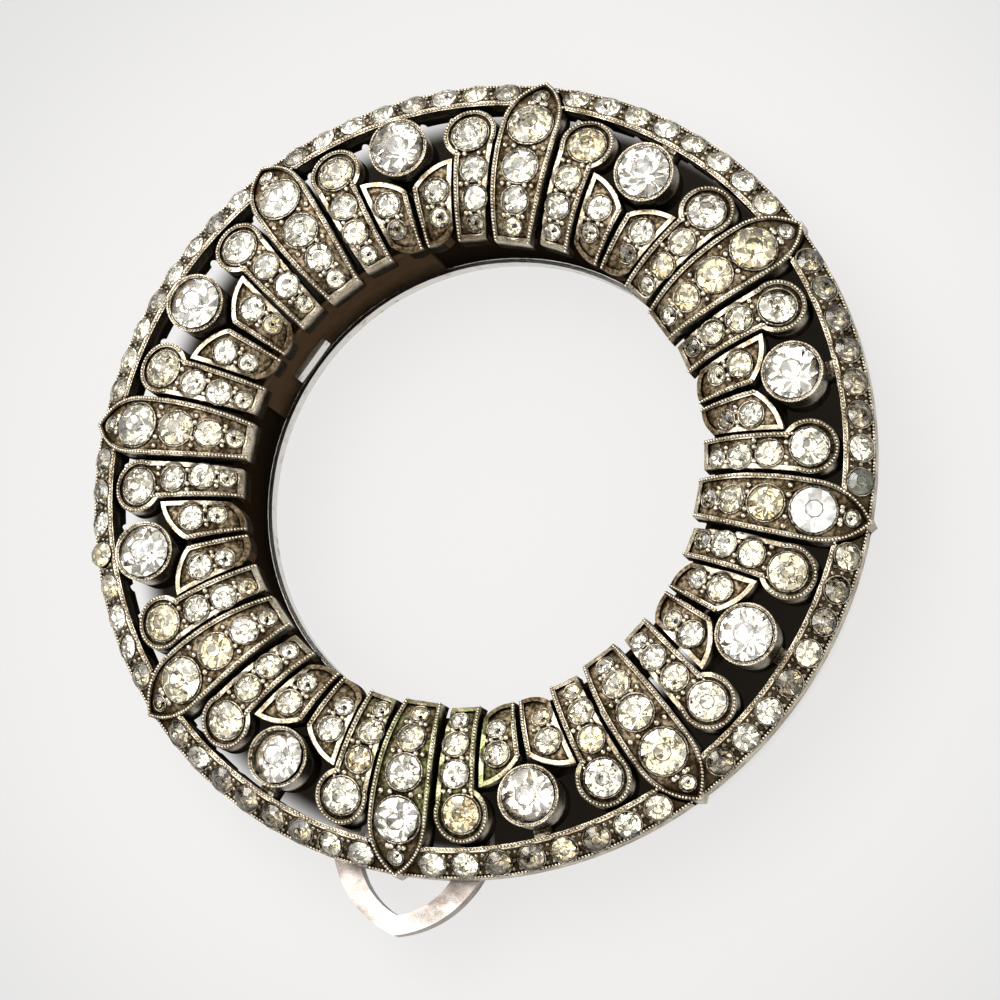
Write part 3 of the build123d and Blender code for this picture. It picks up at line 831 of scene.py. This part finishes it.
plate_seats = long_seats + head_seats + long_small_seats + medium_small_seats + small_seats
bm = bmesh.new()
for maker, radius in collet_seats + plate_seats + rim_seats:
    ridge(bm, maker(0), radius)
beads_piece("ridges", bm, shaded_ridge_metal)

# Grains: places across a gap as shares of the smaller stone's radius, sizes, and how high they stand
WIDE_GRAINS = (-1.15, -0.62, 0.62, 1.15)
NARROW_GRAINS = (-1.1, -0.58, 0.58, 1.1)
LARGE_GRAIN = 0.24
GRAIN = 0.22
GRAIN_RISE = 0.05


def grains(bm, rows, maker, sides, size):
    """Grains on both sides of each gap in a row of stones."""
    for (r1, a1, s1), (r2, a2, s2) in zip(rows, rows[1:]):
        share = (s1 + (r1 - s1 - r2 - s2) / 2) / (r1 - r2)
        radius = r1 + (r2 - r1) * share
        angle = a1 + (a2 - a1) * share
        for across in sides:
            reach = across * min(s1, s2)
            place = maker(radius, angle) @ Vector((reach, 0, GRAIN_RISE))
            bead(bm, place, size)


def on_side(rows, side):
    return [(radius, side * angle, size) for radius, angle, size in rows]


bm = bmesh.new()
long_row = [LONG_SMALL[0], LONG_LARGEST] + LONG_SMALL[1:]
grains(bm, long_row, lambda r, a: dome_seat(r, a, LONG_CREST), WIDE_GRAINS, LARGE_GRAIN)
for side in (1, -1):
    medium_row = on_side([HEAD] + MEDIUM_SMALL, side)
    grains(bm, medium_row, lambda r, a: dome_seat(r, a, MEDIUM_CREST), NARROW_GRAINS, GRAIN)
    small_row = on_side(SMALL_PAIR, side)
    grains(bm, small_row, lambda r, a: dome_seat(r, a, SMALL_CREST), WIDE_GRAINS, GRAIN)
beads_piece("grains", bm)

# Grains between two rim stones: radius, distance to each side of the middle, and size
RIM_GRAINS = ((26.52, 0.22, 0.18), (27.0, 0.0, 0.2), (27.5, 0.24, 0.18))

bm = bmesh.new()
for angle in RIM_ANGLES[:-1]:
    for radius, across, size in RIM_GRAINS:
        for side in ((1, -1) if across else (1,)):
            bead(bm, rim_seat(angle + RIM_PITCH / 2, radius) @ Vector((side * across, 0, 0)), size)
beads_piece("rim_grains", bm, shaded_ridge_metal)


# Studio: pale floor, soft light and the camera

# Painted shade under the ring: where it fades in inside the ring and out beyond it, and how much
# further it reaches to the left and upwards. The paper's painted glow, a pool of painted light, fades
# between the radii of PAINTED_GLOW.
SHADE_INNER = (17.0, 19.0)
SHADE_OUTER = (26.7, 24.6)
SHADE_LEFT = 1.2
SHADE_UP = 2.0
PAINTED_GLOW = (28, 62)

# Half the floor's side, in metres
FLOOR_REACH = 12


def floor_material():
    """Pale paper with a painted glow, brightest in the middle, and painted deep shade under the ring."""
    n = Nodes("pale_paper")
    cloud = n.noise(size=60, detail=2)
    across, along = n.axes(n.place)[:2]
    left = n.math("MINIMUM", n.plus(across, SHADE_LEFT * MM), n.math("MAXIMUM", across, 0.0))
    top = n.math("MAXIMUM", n.minus(along, SHADE_UP * MM), n.math("MINIMUM", along, 0.0))
    radius = n.millimetres(n.hypotenuse(across, along))
    outer_radius = n.millimetres(n.hypotenuse(left, top))
    shade = n.times(n.ramp(radius, *SHADE_INNER), n.ramp(outer_radius, *SHADE_OUTER))
    paper = n.blend(cloud, rgb(0.07, 0.07, 0.072), rgb(0.084, 0.083, 0.081))
    painted_glow = n.blend(n.ramp(radius, *PAINTED_GLOW), rgb(1.0, 0.99, 0.975), rgb(0.8, 0.8, 0.8))
    n.shade(Base_Color=n.blend(shade, paper, rgb(0.01, 0.008, 0.006)), Roughness=0.8,
            Emission_Color=n.blend(shade, painted_glow, rgb(0.012, 0.01, 0.008)), Emission_Strength=0.75,
            Specular_IOR_Level=0.0)
    return n.material


bm = bmesh.new()
bmesh.ops.create_grid(bm, x_segments=8, y_segments=8, size=FLOOR_REACH)
floor_mesh = bpy.data.meshes.new("floor")
bm.to_mesh(floor_mesh)
bm.free()
floor_mesh.materials.append(floor_material())
floor = bpy.data.objects.new("floor", floor_mesh)
bpy.context.collection.objects.link(floor)


def softbox(name, towards, distance, width, height, power):
    """Area light at a direction from the ring's middle, facing it."""
    light = bpy.data.lights.new(name, "AREA")
    light.shape = "RECTANGLE"
    light.size = width * MM
    light.size_y = height * MM
    light.energy = power
    lamp = bpy.data.objects.new(name, light)
    direction = Vector(towards).normalized()
    lamp.location = direction * distance * MM
    lamp.rotation_euler = direction.to_track_quat("Z", "Y").to_euler()
    bpy.context.collection.objects.link(lamp)


softbox("window", towards=(-0.85, 0.62, 0.95), distance=420, width=360, height=320, power=1.3)
softbox("overhead", towards=(-0.31, 0.18, 0.93), distance=460, width=360, height=340, power=1.5)
softbox("reflector", towards=(0.9, -0.25, 0.6), distance=420, width=260, height=180, power=0.4)


def studio_world():
    """Light tent with soft folds, bright in one place and dark in the next, for the stones to mirror."""
    world = bpy.data.worlds.new("studio")
    world.use_nodes = True
    tree = world.node_tree
    direction = tree.nodes.new("ShaderNodeTexCoord").outputs["Generated"]
    folds = tree.nodes.new("ShaderNodeTexNoise")
    folds.inputs["Scale"].default_value = 3.5
    folds.inputs["Detail"].default_value = 1.0
    contrast = tree.nodes.new("ShaderNodeMapRange")
    for key, value in (("From Min", 0.45), ("From Max", 0.55), ("To Min", 0.05), ("To Max", 1.9)):
        contrast.inputs[key].default_value = value
    tree.links.new(direction, folds.inputs["Vector"])
    tree.links.new(folds.outputs["Fac"], contrast.inputs["Value"])
    background = tree.nodes["Background"]
    background.inputs["Color"].default_value = rgb(1.0, 0.985, 0.96)
    tree.links.new(contrast.outputs[0], background.inputs["Strength"])
    bpy.context.scene.world = world


studio_world()
bpy.context.scene.view_settings.view_transform = "Standard"

# Camera: its place, the direction from its target back to it, and the way up
CAMERA_PLACE = Vector((81.55, -46.57, 243.74))
CAMERA_BACK = Vector((0.3127, -0.1772, 0.9332)).normalized()
CAMERA_UP = Vector((-0.1213, 0.9670, 0.2242))
CAMERA_LENS = 133.89
CAMERA_SENSOR = 36

camera = bpy.data.cameras.new("camera")
camera.sensor_width = CAMERA_SENSOR
camera.lens = CAMERA_LENS
camera.clip_start = 0.01
camera.clip_end = 60
view = bpy.data.objects.new("camera", camera)
right = CAMERA_UP.cross(CAMERA_BACK).normalized()
turn = Matrix((right, CAMERA_BACK.cross(right), CAMERA_BACK)).transposed().to_4x4()
view.matrix_world = Matrix.Translation(CAMERA_PLACE * MM) @ turn
bpy.context.collection.objects.link(view)
bpy.context.scene.camera = view
